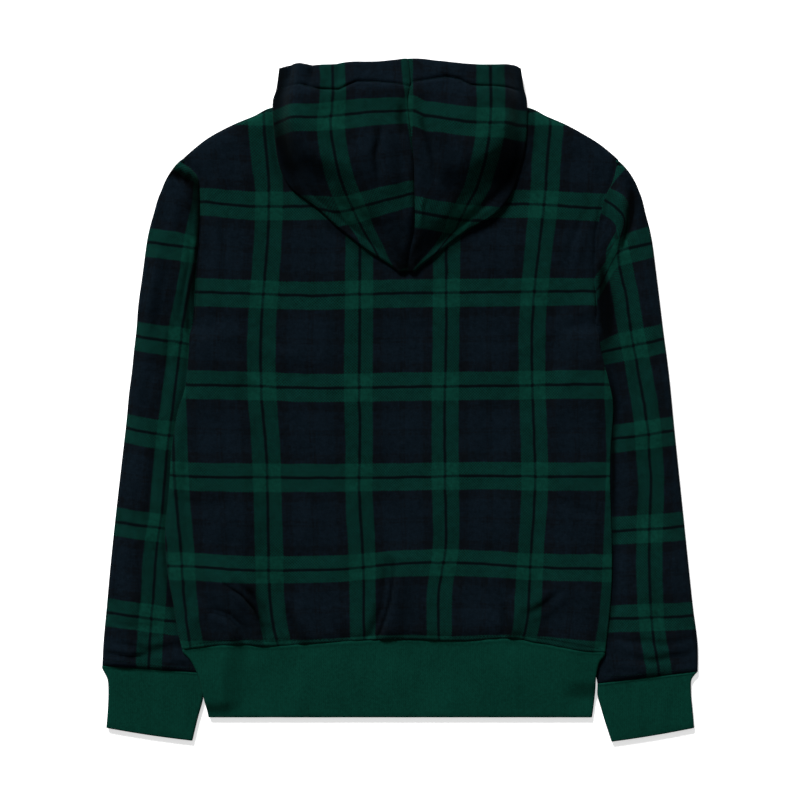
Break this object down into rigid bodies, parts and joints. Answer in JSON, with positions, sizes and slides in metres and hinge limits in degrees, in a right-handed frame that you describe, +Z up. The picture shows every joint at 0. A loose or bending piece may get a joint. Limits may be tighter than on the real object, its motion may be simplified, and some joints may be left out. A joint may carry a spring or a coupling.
{
  "type": "fleece hoodie",
  "caption": "Long-sleeved pullover hoodie of plaid fleece with plain cuffs and waistband, laid flat face down with its hood folded down on its back.",
  "frame": {"origin": "on the surface that the hoodie lies on, in the middle of its outline", "axes": "+Z up from that surface, +Y towards the hood, +X to the right of somebody looking down on it"},
  "size_m": [0.6845, 0.7844, 0.0368],
  "materials": {
    "plaid_fleece": "matt brushed fleece with a dark green, navy and black tartan",
    "plain_knit": "matt dark green knit"
  },
  "bodies": {
    "root": {"back_panel": "plaid_fleece", "front_panel": "plaid_fleece", "sleeve_left": "plaid_fleece", "sleeve_right": "plaid_fleece", "hood_left": "plaid_fleece", "hood_right": "plaid_fleece", "cuff_left": "plain_knit", "cuff_right": "plain_knit", "waistband": "plain_knit"}
  },
  "joints": []
}
